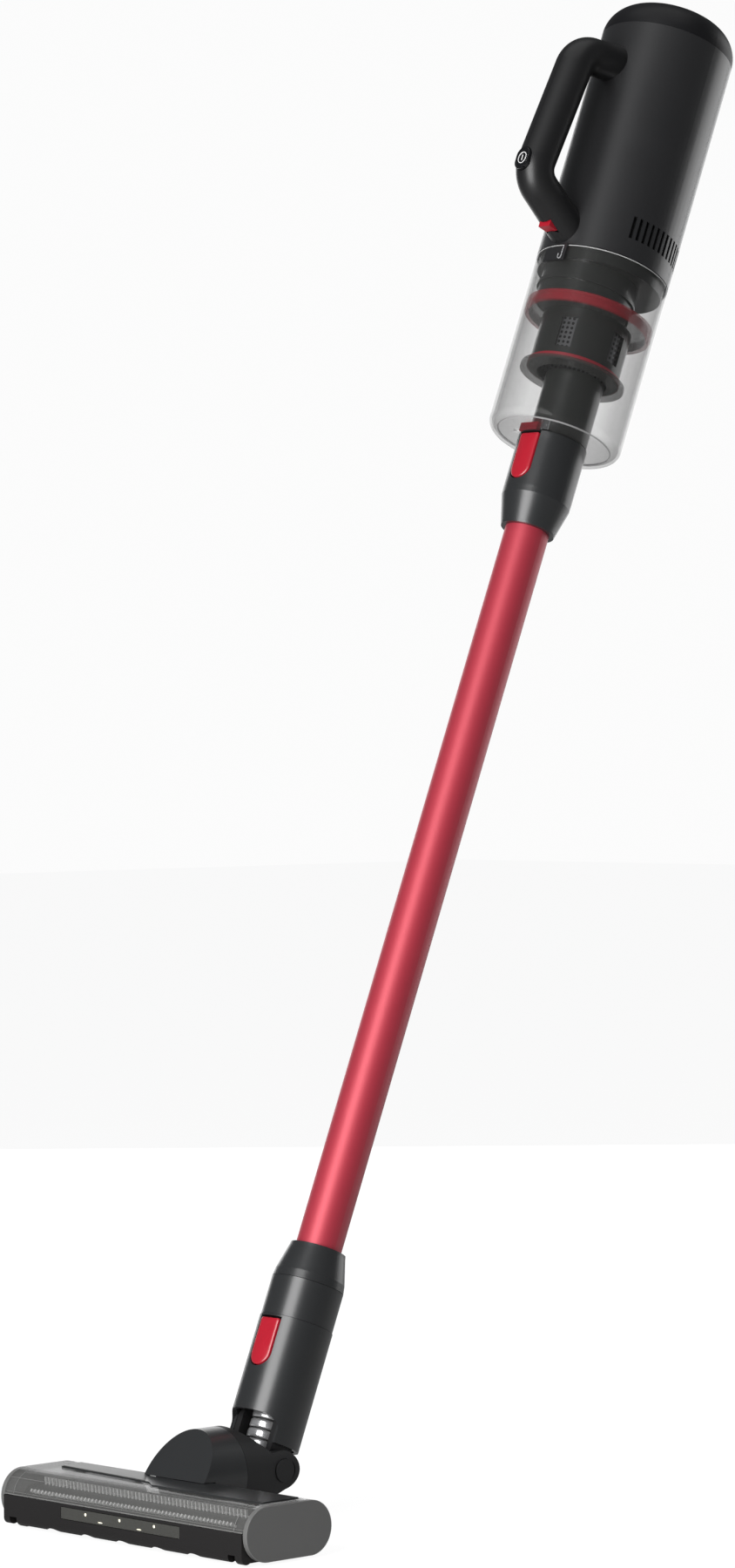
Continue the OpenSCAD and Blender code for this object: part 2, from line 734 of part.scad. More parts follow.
// Outline of the belt round both pulleys, this far outside their rims
module belt_outline(grow) {
    line = [motor_y - brush_y, motor_z - brush_z];
    tilt = atan2(line[1], line[0]);
    open = acos((drum_pulley_r - pulley_r) / norm(line));
    polygon(concat(
        [for (a = [open : (360 - 2 * open) / 16 : 361 - open])
            [brush_y, brush_z] + (drum_pulley_r + grow) * [cos(tilt + a), sin(tilt + a)]],
        [for (a = [-open : open / 8 : open + 1])
            [motor_y, motor_z] + (pulley_r + grow) * [cos(tilt + a), sin(tilt + a)]]));
}

module drive_belt() color("#141414") span(belt_x[0], belt_x[1]) difference() {
    belt_outline(1.4);
    belt_outline(0.3);
}

motor_housing();
top_cap();
handle_left();
handle_right();
power_button();
battery_case();
battery_cells();
control_board();
motor_can();
motor_rotor();
exhaust_filter();
cyclone_housing();
cyclone_cones();
pre_motor_filter();
separator_plate();
seal_ring();
shroud();
shroud_mesh();
shroud_flange();
flange_trim();
bin_latch();
latch_spring();
bin_shell();
inlet_duct();
bin_catch();
contact_pins();
latch_tongue();
wand_top_connector();
wand_release_button();
wand_button_spring();
wand_tube();
wand_lower_collar();
wand_lower_ring();
neck_shell();
neck_yoke();
head_release_button();
head_button_spring();
hose();
elbow_body();
pivot_pins();
pivot_caps();
barrel_hood();
top_plate();
head_cover();
head_chassis();
left_end_cap();
right_end_cap();
light_window();
led_board();
sole_plate();
floor_strip();
front_wheel_left();
front_wheel_right();
wheel_axles();
rear_roller();
brush_core();
brush_bristles();
brush_motor();
motor_pulley();
drive_belt();
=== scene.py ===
# Cordless upright (stick) vacuum cleaner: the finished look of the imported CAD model.
# Lengths below are millimetres, made metres only where a mesh is written.
import json
import math

import bmesh
import bpy
import numpy as np
from mathutils import Matrix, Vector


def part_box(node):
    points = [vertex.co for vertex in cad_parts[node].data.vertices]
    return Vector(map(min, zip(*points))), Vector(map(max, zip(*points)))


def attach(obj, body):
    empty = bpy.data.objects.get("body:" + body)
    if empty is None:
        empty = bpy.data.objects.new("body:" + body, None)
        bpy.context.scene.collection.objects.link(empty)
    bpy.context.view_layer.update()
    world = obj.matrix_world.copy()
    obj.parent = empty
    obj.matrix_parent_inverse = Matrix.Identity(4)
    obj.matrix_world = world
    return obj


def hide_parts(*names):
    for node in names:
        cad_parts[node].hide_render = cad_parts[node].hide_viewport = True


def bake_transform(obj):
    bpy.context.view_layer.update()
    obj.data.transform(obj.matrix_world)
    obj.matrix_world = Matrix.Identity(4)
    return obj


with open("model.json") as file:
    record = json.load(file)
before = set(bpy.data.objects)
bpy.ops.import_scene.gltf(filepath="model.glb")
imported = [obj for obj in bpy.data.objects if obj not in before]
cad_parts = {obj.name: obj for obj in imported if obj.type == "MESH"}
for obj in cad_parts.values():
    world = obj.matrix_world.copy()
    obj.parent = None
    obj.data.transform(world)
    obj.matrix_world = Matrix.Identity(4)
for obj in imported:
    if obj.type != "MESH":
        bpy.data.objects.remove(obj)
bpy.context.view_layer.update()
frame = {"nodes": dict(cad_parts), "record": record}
node = frame["nodes"]

# ---- Camera, floor and lamps ----
# A long lens stands level with the middle of the cleaner, to the right of its front. The floor
# and the room are plain and pale. Soft lamps at the left, at the right, behind and overhead
# light the stick; the camera doesn't see them, only their light.
AZIMUTH, TILT, ROLL = (math.radians(a) for a in (46.72, 0.53, -0.40))
LENS = 111.9


def camera_axes():
    """Right, up and back of the camera, turned about its own line of sight by ROLL."""
    back = np.array([math.sin(AZIMUTH) * math.cos(TILT), -math.cos(AZIMUTH) * math.cos(TILT),
                     math.sin(TILT)])
    level = np.array([math.cos(AZIMUTH), math.sin(AZIMUTH), 0])
    up = np.cross(back, level)
    right = level * math.cos(ROLL) + up * math.sin(ROLL)
    return right, np.cross(back, right), back


right, up, back = camera_axes()
lens = bpy.data.cameras.new("camera")
lens.lens = LENS
lens.clip_end = 60
camera = bpy.data.objects.new("camera", lens)
camera.matrix_world = Matrix(np.vstack([np.column_stack(
    [right, up, back, (2.6723, -2.3078, 0.5796)]), (0, 0, 0, 1)]).tolist())
bpy.context.collection.objects.link(camera)
bpy.context.scene.camera = camera


def lamp(name, place, aim, size, power, tint=(1, 1, 1)):
    """A soft rectangular lamp at a place, turned to face another."""
    light = bpy.data.lights.new(name, "AREA")
    light.shape = "RECTANGLE"
    light.size, light.size_y = size
    light.energy = power
    light.color = tint
    holder = bpy.data.objects.new(name, light)
    z = np.array(place) - np.array(aim)
    z = z / np.linalg.norm(z)
    x = np.cross((0, 0, 1), z)
    x = x / np.linalg.norm(x)
    holder.matrix_world = Matrix(np.vstack([np.column_stack(
        [x, np.cross(z, x), z, place]), (0, 0, 0, 1)]).tolist())
    holder.visible_camera = False
    bpy.context.collection.objects.link(holder)


def seen_from_camera(side, ahead, height):
    """A place beside the stick: so far to the right, towards the camera and up, in metres."""
    flat_right, flat_back = np.array([right[0], right[1], 0]), np.array([back[0], back[1], 0])
    middle = np.array([0, 0.25, 0])
    return tuple(middle + side * flat_right + ahead * flat_back + np.array([0, 0, height]))


AIM = (0, 0.25, 0.6)
lamp("strip_left", seen_from_camera(-1.1, 1.75, 0.75), AIM, (1.3, 2.6), 84)
lamp("strip_right", seen_from_camera(1.9, -1.3, 0.8), AIM, (1.4, 2.4), 16)
lamp("backdrop", seen_from_camera(0, -3.2, 0.7), AIM, (4.0, 2.2), 40)
lamp("overhead", (0.2, 0.1, 2.9), (0, 0.25, 0), (2.4, 2.4), 12)

room = bpy.data.worlds.new("room")
room.use_nodes = True
bpy.context.scene.world = room
room_nodes, room_links = room.node_tree.nodes, room.node_tree.links
room_nodes.clear()
room_out = room_nodes.new("ShaderNodeOutputWorld")
room_pick = room_nodes.new("ShaderNodeMixShader")
room_ray = room_nodes.new("ShaderNodeLightPath")
room_light = room_nodes.new("ShaderNodeBackground")
room_light.inputs["Color"].default_value = (0.93, 0.96, 1, 1)
room_light.inputs["Strength"].default_value = 0.10
room_seen = room_nodes.new("ShaderNodeBackground")
room_seen.inputs["Color"].default_value = (1, 1, 1, 1)
room_seen.inputs["Strength"].default_value = 0.97
room_links.new(room_ray.outputs["Is Camera Ray"], room_pick.inputs[0])
room_links.new(room_light.outputs[0], room_pick.inputs[1])
room_links.new(room_seen.outputs[0], room_pick.inputs[2])
room_links.new(room_pick.outputs[0], room_out.inputs[0])
bpy.context.scene.view_settings.view_transform = "Standard"

floor_mesh = bpy.data.meshes.new("floor")
FLOOR = 14
floor_mesh.from_pydata([(-FLOOR, -FLOOR, 0), (FLOOR, -FLOOR, 0), (FLOOR, FLOOR, 0),
                        (-FLOOR, FLOOR, 0)], [], [(0, 1, 2, 3)])
floor = bpy.data.objects.new("floor", floor_mesh)
bpy.context.collection.objects.link(floor)
floor_paint = bpy.data.materials.new("floor_paint")
floor_paint.use_nodes = True
floor_nodes, floor_links = floor_paint.node_tree.nodes, floor_paint.node_tree.links
floor_shader = floor_nodes["Principled BSDF"]
floor_shader.inputs["Roughness"].default_value = 0.9
floor_shader.inputs["Specular IOR Level"].default_value = 0.1
floor_shader.inputs["Emission Color"].default_value = (1, 1, 1, 1)
floor_ray = floor_nodes.new("ShaderNodeLightPath")
floor_glow = floor_nodes.new("ShaderNodeMapRange")
floor_glow.inputs["To Min"].default_value = 0.12
floor_glow.inputs["To Max"].default_value = 0.93
floor_links.new(floor_ray.outputs["Is Camera Ray"], floor_glow.inputs["Value"])
floor_tone = floor_nodes.new("ShaderNodeMapRange")
floor_tone.inputs["To Min"].default_value = 0.30
floor_tone.inputs["To Max"].default_value = 0.12
floor_links.new(floor_ray.outputs["Is Camera Ray"], floor_tone.inputs["Value"])
floor_links.new(floor_tone.outputs[0], floor_shader.inputs["Base Color"])
floor_links.new(floor_glow.outputs[0], floor_shader.inputs["Emission Strength"])
floor_mesh.materials.append(floor_paint)

# ---- Motor housing and cap ----
# The housing is a tube moulded in satin black plastic, with forty exhaust slots low in its
# wall. A plain domed cap is pressed into its top. Its finish is darker and reflects less than
# the housing's: painted shade for the dark reflection the dome shows.
MM = 0.001


def add_group(name, sockets_in, sockets_out):
    """An empty shader node group with named inputs and outputs, and its two end nodes."""
    tree = bpy.data.node_groups.new(name, "ShaderNodeTree")
    for label, kind, value in sockets_in:
        socket = tree.interface.new_socket(label, in_out="INPUT", socket_type=kind)
        socket.default_value = value
    for label, kind in sockets_out:
        tree.interface.new_socket(label, in_out="OUTPUT", socket_type=kind)
    return tree, tree.nodes.new("NodeGroupInput"), tree.nodes.new("NodeGroupOutput")


FLOAT, COLOUR, VECTOR = "NodeSocketFloat", "NodeSocketColor", "NodeSocketVector"


def moulded_skin_group():
    """Fine spark-eroded grain: a small noise gives the bump, and a broad one drifts the gloss
    and the tone a little, as a moulded or handled surface does."""
    tree, start, end = add_group(
        "moulded_skin",
        [("Colour", COLOUR, (0.5, 0.5, 0.5, 1)), ("Grain size", FLOAT, 2500),
         ("Grain depth", FLOAT, 0.1), ("Stretch", VECTOR, (1, 1, 1)), ("Gloss", FLOAT, 0.4),
         ("Gloss drift", FLOAT, 0.08), ("Tone drift", FLOAT, 0.06)],
        [("Colour", COLOUR), ("Roughness", FLOAT), ("Normal", VECTOR)])
    add, wire = tree.nodes.new, tree.links.new
    place = add("ShaderNodeTexCoord")
    stretch = add("ShaderNodeVectorMath")
    stretch.operation = "MULTIPLY"
    wire(place.outputs["Object"], stretch.inputs[0])
    wire(start.outputs["Stretch"], stretch.inputs[1])
    grain = add("ShaderNodeTexNoise")
    grain.inputs["Detail"].default_value = 2
    wire(stretch.outputs[0], grain.inputs["Vector"])
    wire(start.outputs["Grain size"], grain.inputs["Scale"])
    bump = add("ShaderNodeBump")
    bump.inputs["Distance"].default_value = 0.0002
    wire(start.outputs["Grain depth"], bump.inputs["Strength"])
    wire(grain.outputs["Fac"], bump.inputs["Height"])
    wire(bump.outputs[0], end.inputs["Normal"])
    smear = add("ShaderNodeTexNoise")
    smear.inputs["Scale"].default_value = 22
    smear.inputs["Detail"].default_value = 4
    smear.inputs["Distortion"].default_value = 0.6
    wire(place.outputs["Object"], smear.inputs["Vector"])
    centred = add("ShaderNodeMath")
    centred.operation = "SUBTRACT"
    centred.inputs[1].default_value = 0.5
    wire(smear.outputs["Fac"], centred.inputs[0])
    drift = add("ShaderNodeMath")
    drift.operation = "MULTIPLY_ADD"
    wire(centred.outputs[0], drift.inputs[0])
    wire(start.outputs["Gloss drift"], drift.inputs[1])
    wire(start.outputs["Gloss"], drift.inputs[2])
    wire(drift.outputs[0], end.inputs["Roughness"])
    tone = add("ShaderNodeMath")
    tone.operation = "MULTIPLY_ADD"
    tone.inputs[2].default_value = 1
    wire(centred.outputs[0], tone.inputs[0])
    wire(start.outputs["Tone drift"], tone.inputs[1])
    tint = add("ShaderNodeVectorMath")
    tint.operation = "SCALE"
    wire(start.outputs["Colour"], tint.inputs[0])
    wire(tone.outputs[0], tint.inputs["Scale"])
    wire(tint.outputs[0], end.inputs["Colour"])
    return tree


skin_group = moulded_skin_group()


def finish(name, colour, gloss, grain=(2500, 0.1), drift=(0.08, 0.06), stretch=(1, 1, 1),
           **sockets):
    """A moulded, painted or drawn finish. gloss is the roughness, grain its size and depth,
    drift how far gloss and tone wander, and sockets are constants on the shader itself."""
    made = bpy.data.materials.new(name)
    made.use_nodes = True
    shader = made.node_tree.nodes["Principled BSDF"]
    skin = made.node_tree.nodes.new("ShaderNodeGroup")
    skin.node_tree = skin_group
    labels = "Colour", "Grain size", "Grain depth", "Stretch", "Gloss", "Gloss drift", "Tone drift"
    for label, value in zip(labels, ((*colour, 1), *grain, stretch, gloss, *drift)):
        skin.inputs[label].default_value = value
    wire = made.node_tree.links.new
    wire(skin.outputs["Colour"], shader.inputs["Base Color"])
    wire(skin.outputs["Roughness"], shader.inputs["Roughness"])
    wire(skin.outputs["Normal"], shader.inputs["Normal"])
    for label, value in sockets.items():
        shader.inputs[label.replace("_", " ")].default_value = value
    return made


def dress(material, *names):
    """Gives CAD nodes a finish."""
    for name in names:
        slots = node[name].data.materials
        slots.clear()
        slots.append(material)


satin_black = finish("satin_black", (0.017, 0.017, 0.018), 0.34, Coat_Weight=0.4,
                     Coat_Roughness=0.26)
# The cap's finish is darker and less reflective than the housing's: painted shade for the dark
# reflection on the dome.
cap_painted_shade = finish("cap_painted_shade", (0.007, 0.007, 0.008), 0.42, grain=(900, 0.01),
                     drift=(0.05, 0.03), Specular_IOR_Level=0.3)
dress(satin_black, "motor_housing")
dress(cap_painted_shade, "top_cap")

# ---- Handle, power button and bin latch ----
# The grip is two hollow halves screwed together, in satin black plastic. The oval power button
# is set in the knee, with a printed ring and bar that show what it does. The red latch below
# is the end of a sprung slider that holds the bin.
joints = {joint["name"]: joint for joint in frame["record"]["behaviour"]["joints"]}
PIVOT = np.array(joints["neck_pitch"]["pos_m"]) / MM
STICK = np.array(joints["fan_spin"]["axis"])
BACK = np.array(joints["power_button_press"]["axis"])


def on_stick(x, n, s):
    """The place x to the right of, n behind and s up from the pivot, along the leaning stick:
    pivot + x X + n BACK + s STICK. The three may be arrays, and then so is the answer."""
    x, n, s = np.broadcast_arrays(x, n, s)
    return PIVOT + x[..., None] * np.array([1, 0, 0]) + n[..., None] * BACK + s[..., None] * STICK


def piece(name, points, faces, material, body, slot=None, crease=35):
    """One piece from points in millimetres and its faces. Its normals are turned outwards, and
    edges sharper than crease degrees stay crisp."""
    mesh = bpy.data.meshes.new(name)
    mesh.from_pydata((np.asarray(points) * MM).tolist(), [], [list(face) for face in faces])
    work = bmesh.new()
    work.from_mesh(mesh)
    bmesh.ops.recalc_face_normals(work, faces=work.faces)
    work.to_mesh(mesh)
    work.free()
    mesh.polygons.foreach_set("use_smooth", np.ones(len(mesh.polygons), dtype=bool))
    mesh.set_sharp_from_angle(angle=math.radians(crease))
    mesh.materials.append(material)
    made = bpy.data.objects.new(name, mesh)
    bpy.context.collection.objects.link(made)
    if body:
        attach(made, body)
    return made


def sheet_of(points, wrap_rows=False, wrap_columns=True, ends=True):
    """Points and faces of a grid (rows, columns, 3): each cell is a quad. Columns and rows may
    wrap round, and rows that don't are closed by one flat face at each end."""
    rows, columns = points.shape[:2]
    index = np.arange(rows * columns).reshape(rows, columns)
    if wrap_rows:
        index = np.vstack([index, index[:1]])
    if wrap_columns:
        index = np.hstack([index, index[:, :1]])
    quads = np.stack([index[:-1, :-1], index[:-1, 1:], index[1:, 1:], index[1:, :-1]], -1)
    faces = quads.reshape(-1, 4).tolist()
    if ends and wrap_columns and not wrap_rows:
        faces += [index[0, :columns].tolist(), index[-1, :columns].tolist()]
    return points.reshape(-1, 3), faces


def several(parts):
    """Joins sheets of points and faces into one."""
    points, faces, first = [], [], 0
    for more_points, more_faces in parts:
        points.append(more_points)
        faces += [[first + corner for corner in face] for face in more_faces]
        first += len(more_points)
    return np.vstack(points), faces


def turned(profile, sides=96, centre=0.0):
    """A closed profile of (radius, height) turned about the stick's axis, or about a line that
    stands centre behind it: (r cos a, centre + r sin a, s)."""
    profile = np.array(profile, dtype=float)
    angle = np.linspace(0, 2 * np.pi, sides, endpoint=False)
    r, s = profile[:, :1], profile[:, 1:]
    return sheet_of(on_stick(r * np.cos(angle), centre + r * np.sin(angle), s + 0 * angle),
                    wrap_rows=True)


def rod_along(path, radius, side, closed=False):
    """A round rod of one radius along a flat line of points (count, 3), whose plane is square to
    side: at each point a circle stands square to the line, p + r (cos a side + sin a v)."""
    path = np.asarray(path, dtype=float)
    if closed:
        along = np.roll(path, -1, 0) - np.roll(path, 1, 0)
    else:
        along = np.gradient(path, axis=0)
    along /= np.linalg.norm(along, axis=1, keepdims=True)
    v = np.cross(along, side)
    v /= np.linalg.norm(v, axis=1, keepdims=True)
    u = np.cross(v, along)
    angle = np.linspace(0, 2 * np.pi, 8, endpoint=False)[None, :, None]
    ring = path[:, None] + radius * (np.cos(angle) * u[:, None] + np.sin(angle) * v[:, None])
    return sheet_of(ring, wrap_rows=closed)


grip_black = finish("grip_black", (0.010, 0.010, 0.0105), 0.38)
button_gloss = finish("button_gloss", (0.004, 0.004, 0.005), 0.08, grain=(900, 0.0),
                      Coat_Weight=0.6)
dress(grip_black, "handle_left", "handle_right")
dress(button_gloss, "power_button")
red_gloss = finish("red_gloss", (0.42, 0.010, 0.024), 0.30, grain=(900, 0.02), Coat_Weight=0.4,
                   Coat_Roughness=0.15)
dress(red_gloss, "bin_latch")

button_low, button_high = (np.array(corner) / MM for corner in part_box("power_button"))
button_middle = (button_low + button_high) / 2 - PIVOT
BUTTON_S = button_middle @ STICK
BUTTON_FACE = button_middle @ BACK - 3
around = np.linspace(0, 2 * np.pi, 48, endpoint=False)
mark_white = finish("mark_white", (0.75, 0.75, 0.75), 0.5, grain=(900, 0.0))
piece("power_mark", *several([
    rod_along(on_stick(3.9 * np.cos(around), BUTTON_FACE, BUTTON_S + 4.6 * np.sin(around)), 0.38,
              BACK, closed=True),
    rod_along(on_stick(0, BUTTON_FACE, BUTTON_S + np.linspace(-2.4, 2.4, 8)), 0.42, BACK)]),
    mark_white, "power_button", "button_black")
button_rim = np.array([6.0, 8.4])
rim_line = np.stack([np.sign(np.cos(around)) * np.abs(np.cos(around)) ** 0.75,
                     np.sign(np.sin(around)) * np.abs(np.sin(around)) ** 0.9], -1) * button_rim
piece("power_button_rim", *rod_along(
    on_stick(rim_line[:, 0], BUTTON_FACE + 0.35, BUTTON_S + rim_line[:, 1]), 0.45, BACK,
    closed=True),
    button_gloss, "power_button", "button_black")

# ---- Battery, motor and filters ----
# Seven cells in shrink sleeves stand in a case over the fan motor, with the control board
# between them. The motor's can is rolled steel, and its fan pulls air through both filters.
steel = finish("steel", (0.5, 0.5, 0.52), 0.3, grain=(1200, 0.05), Metallic=1.0)
case_grey = finish("case_grey", (0.035, 0.035, 0.037), 0.45)
cell_sleeve = finish("cell_sleeve", (0.04, 0.13, 0.33), 0.3)
board_green = finish("board_green", (0.012, 0.11, 0.045), 0.3)
# The exhaust filter's foam is made near black. This is its own dark colour and also painted shade,
# so the slots in front of it read dark.
filter_foam_vent_shade = finish("filter_foam_vent_shade", (0.002, 0.002, 0.002), 0.9, grain=(700, 0.8))
filter_felt = finish("filter_felt", (0.6, 0.57, 0.5), 0.95, grain=(900, 0.8))
dress(steel, "motor_can", "motor_rotor", "latch_spring", "wand_button_spring", "head_button_spring",
      "pivot_pins", "wheel_axles", "brush_motor", "motor_pulley")
dress(case_grey, "battery_case")
dress(cell_sleeve, "battery_cells")
dress(board_green, "control_board")
dress(filter_foam_vent_shade, "exhaust_filter")
dress(filter_felt, "pre_motor_filter")

# ---- Cyclone ----
# A dark drum hangs into the bin from the power unit. Below its red seal the air goes in through
# a shroud with pierced windows, over a disc that keeps the dust down. Both discs are smoked
# clear plastic, and the seal is a clear red one.


def clear_plastic(name, colour, gloss, alpha, edge_alpha):
    """Thin clear plastic: it lets light straight through, and hides more at a glance."""
    made = finish(name, colour, gloss, grain=(300, 0.02), drift=(0.04, 0.1))
    nodes, wire = made.node_tree.nodes, made.node_tree.links.new
    facing = nodes.new("ShaderNodeLayerWeight")
    facing.inputs["Blend"].default_value = 0.35
    span = nodes.new("ShaderNodeMapRange")
    span.inputs["From Min"].default_value = 0.15
    span.inputs["To Min"].default_value = alpha
    span.inputs["To Max"].default_value = edge_alpha
    wire(facing.outputs["Facing"], span.inputs["Value"])
    wire(span.outputs["Result"], nodes["Principled BSDF"].inputs["Alpha"])
    return made


def pierced_sheet(name, colour, holes_round, pitch, hole):
    """Dark sheet with rows of punched holes. On the stick's own axes, a hole lies in the middle
    of each step of angle and of height, where it is nearer than hole of a step."""
    made = finish(name, colour, 0.35, Metallic=0.6)
    nodes, wire = made.node_tree.nodes, made.node_tree.links.new
    shader = nodes["Principled BSDF"]

    def math_node(kind, *values):
        """One step of arithmetic on numbers or sockets, and its result's socket."""
        step = nodes.new("ShaderNodeMath")
        step.operation = kind
        for slot_number, value in enumerate(values):
            if isinstance(value, (int, float)):
                step.inputs[slot_number].default_value = value
            else:
                wire(value, step.inputs[slot_number])
        return step.outputs[0]

    place = nodes.new("ShaderNodeTexCoord")
    upright = nodes.new("ShaderNodeMapping")
    upright.vector_type = "TEXTURE"
    upright.inputs["Location"].default_value = PIVOT * MM
    upright.inputs["Rotation"].default_value = (-math.atan2(STICK[1], STICK[2]), 0, 0)
    wire(place.outputs["Object"], upright.inputs["Vector"])
    parts = nodes.new("ShaderNodeSeparateXYZ")
    wire(upright.outputs[0], parts.inputs[0])
    turn = math_node("ARCTAN2", parts.outputs["X"], parts.outputs["Y"])
    across = math_node("MULTIPLY", turn, holes_round / (2 * math.pi))
    up_step = math_node("DIVIDE", parts.outputs["Z"], pitch * MM)
    off_across = math_node("SUBTRACT", math_node("FRACT", across), 0.5)
    off_up = math_node("SUBTRACT", math_node("FRACT", up_step), 0.5)
    far = math_node("SQRT", math_node("ADD", math_node("MULTIPLY", off_across, off_across),
                                      math_node("MULTIPLY", off_up, off_up)))
    solid = nodes.new("ShaderNodeVectorMath")
    solid.operation = "SCALE"
    skin = next(one for one in nodes if one.bl_idname == "ShaderNodeGroup")
    wire(skin.outputs["Colour"], solid.inputs[0])
    wire(math_node("GREATER_THAN", far, hole), solid.inputs["Scale"])
    wire(solid.outputs[0], shader.inputs["Base Color"])
    return made


cyclone_black = finish("cyclone_black", (0.011, 0.012, 0.011), 0.30, Coat_Weight=0.2)
disc_smoke = clear_plastic("disc_smoke", (0.05, 0.049, 0.046), 0.25, 0.5, 0.62)
seal_red = clear_plastic("seal_red", (0.42, 0.012, 0.028), 0.35, 0.42, 0.5)
trim_red = finish("trim_red", (0.30, 0.010, 0.022), 0.4)
shroud_mesh = pierced_sheet("shroud_mesh", (0.10, 0.10, 0.105), 56, 4.0, 0.30)
dress(cyclone_black, "cyclone_housing", "cyclone_cones", "shroud", "inlet_duct")
dress(disc_smoke, "separator_plate", "shroud_flange")
dress(seal_red, "seal_ring")
dress(trim_red, "flange_trim", "latch_tongue")
dress(shroud_mesh, "shroud_mesh")

# ---- Dust bin ----
# The bin is one clear moulding with a rounded foot and a small black catch at its rim. A pale
# ring round its floor is a painted highlight, the bright arc along the floor's edge, and a thin
# pale line runs round its rim. Its contact pins stand on the floor beside the latch tongue.
BIN_R, BIN_FLOOR, BIN_TOP = 53.5, 829, 976
bin_clear = clear_plastic("bin_clear", (0.10, 0.10, 0.098), 0.05, 0.10, 0.5)
# A pale clear finish for two thin rings. The ring on the floor is a painted highlight.
pale_clear = clear_plastic("pale_clear", (0.85, 0.85, 0.85), 0.05, 0.45, 0.8)
dress(bin_clear, "bin_shell")
dress(satin_black, "bin_catch")
chrome = finish("chrome", (0.8, 0.8, 0.82), 0.12, grain=(900, 0.0), Metallic=1.0)
dress(chrome, "contact_pins")


def hoop(radius, height, thick):
    """A round rod bent into a hoop: (radius + thick cos a, height + thick sin a), turned."""
    angle = np.linspace(0, 2 * np.pi, 12, endpoint=False)
    return turned(np.stack([radius + thick * np.cos(angle), height + thick * np.sin(angle)], -1),
                  144)


# A pale ring on the bin's floor: a painted highlight for the bright arc along the floor's edge.
piece("bin_floor_painted_highlight", *hoop(BIN_R - 8.2, BIN_FLOOR + 2.95, 0.7), pale_clear, "dust_bin",
      "bin_clear")
piece("bin_rim_line", *hoop(BIN_R - 0.4, BIN_TOP - 0.8, 0.4), pale_clear, "dust_bin", "bin_clear")


def on_body(x, s, radius):
    """The place on the front of a round body at x to the side: n = -sqrt(radius^2 - x^2)."""
    x, s = np.broadcast_arrays(x, s)
    return on_stick(x, -np.sqrt(radius ** 2 - x ** 2), s)


bend = np.linspace(0, np.pi, 12)
hook_line = np.concatenate([
    [[8.2, BIN_TOP - 1.5], [8.0, BIN_TOP - 5]],
    np.stack([6.4 + 1.6 * np.cos(bend), BIN_TOP - 11.2 - 1.6 * np.sin(bend)], -1),
    [[4.9, BIN_TOP - 8.6]]])
hook_grey = finish("hook_grey", (0.45, 0.45, 0.46), 0.3, grain=(900, 0.02))
piece("catch_hook",
      *rod_along(on_body(hook_line[:, 0], hook_line[:, 1], BIN_R + 1.5), 0.32, BACK),
      hook_grey, "dust_bin", "housing_black")

# ---- Wand ----
# A red anodised aluminium tube runs between two black moulded fittings. A red button in the
# upper one lets it go from the bin, and the steel spring behind the button pushes it out.


def anodised(name, colour):
    """Drawn and dyed aluminium: colour metal under a clear satin skin, with a fine grain that
    runs along the tube and a pale sheen where the light grazes it."""
    made = finish(name, colour, 0.52, grain=(900, 0.04), drift=(0.05, 0.08), stretch=(1, 1, 0.05),
                  Metallic=0.4, Coat_Weight=0.45, Coat_Roughness=0.42, Sheen_Weight=0.3,
                  Sheen_Roughness=0.4)
    made.node_tree.nodes["Principled BSDF"].inputs["Sheen Tint"].default_value = (1, 0.62, 0.68, 1)
    return made


def release_pad(name, top, length, half, radius, depth, dimple, material, body):
    """A button on the front of a round body. Its outline is a flat top and a round lower end.
    Rings shrink from the outline to the middle. They stand at radius - edge, and edge falls
    from depth at the outline to nothing, so the rim rolls over. dimple is how far below the
    top a finger dimple lies, its depth and its width: depth exp(-(distance / width)^4)."""
    turn = np.linspace(np.pi, 2 * np.pi, 33)
    low = top - length + half
    corner = np.linspace(0, np.pi / 2, 7)[:, None]
    soft = 1.6
    right_corner = np.hstack([half - soft + soft * np.cos(corner),
                              top - soft + soft * np.sin(corner)])
    left_corner = right_corner[::-1] * [-1, 1]
    outline = np.vstack([np.stack([half * np.cos(turn), low + half * np.sin(turn)], -1),
                         right_corner, left_corner])
    middle = np.array([0, top - length / 2])
    shrink = np.array([1.0, 1.0, 0.985, 0.955, 0.91, 0.85, 0.75, 0.6, 0.45, 0.3, 0.15, 0.04])
    spots = middle + shrink[:, None, None] * (outline - middle)
    edge = np.array([depth, 0.9, 0.5, 0.22, 0.08, 0.02, 0, 0, 0, 0, 0, 0])[:, None]
    dip = dimple[1] * np.exp(-((spots[..., 0] ** 2 + (spots[..., 1] - top + dimple[0]) ** 2)
                               / dimple[2] ** 2) ** 2)
    stand = radius - edge - dip
    n = -np.sqrt(stand ** 2 - spots[..., 0] ** 2)
    return piece(name, *sheet_of(on_stick(spots[..., 0], n, spots[..., 1])), material, body,
                 "accent_red")


connector_black = finish("connector_black", (0.022, 0.023, 0.024), 0.33, Coat_Weight=0.35,
                         Coat_Roughness=0.25)
tube_red = anodised("tube_red", (0.48, 0.035, 0.060))
dress(connector_black, "wand_top_connector", "wand_lower_collar", "wand_lower_ring", "neck_shell",
      "barrel_hood")
dress(tube_red, "wand_tube")
dress(red_gloss, "wand_release_button", "head_release_button")
PAD_HALF, PAD_IN = 9.8, 4.4
upper_pad = release_pad("wand_release_pad", BIN_FLOOR - 2.0, 38.5, PAD_HALF, 28.0, PAD_IN,
                        (9, 0.0, 5.5), red_gloss, "wand_release_button")
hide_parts("wand_release_button")

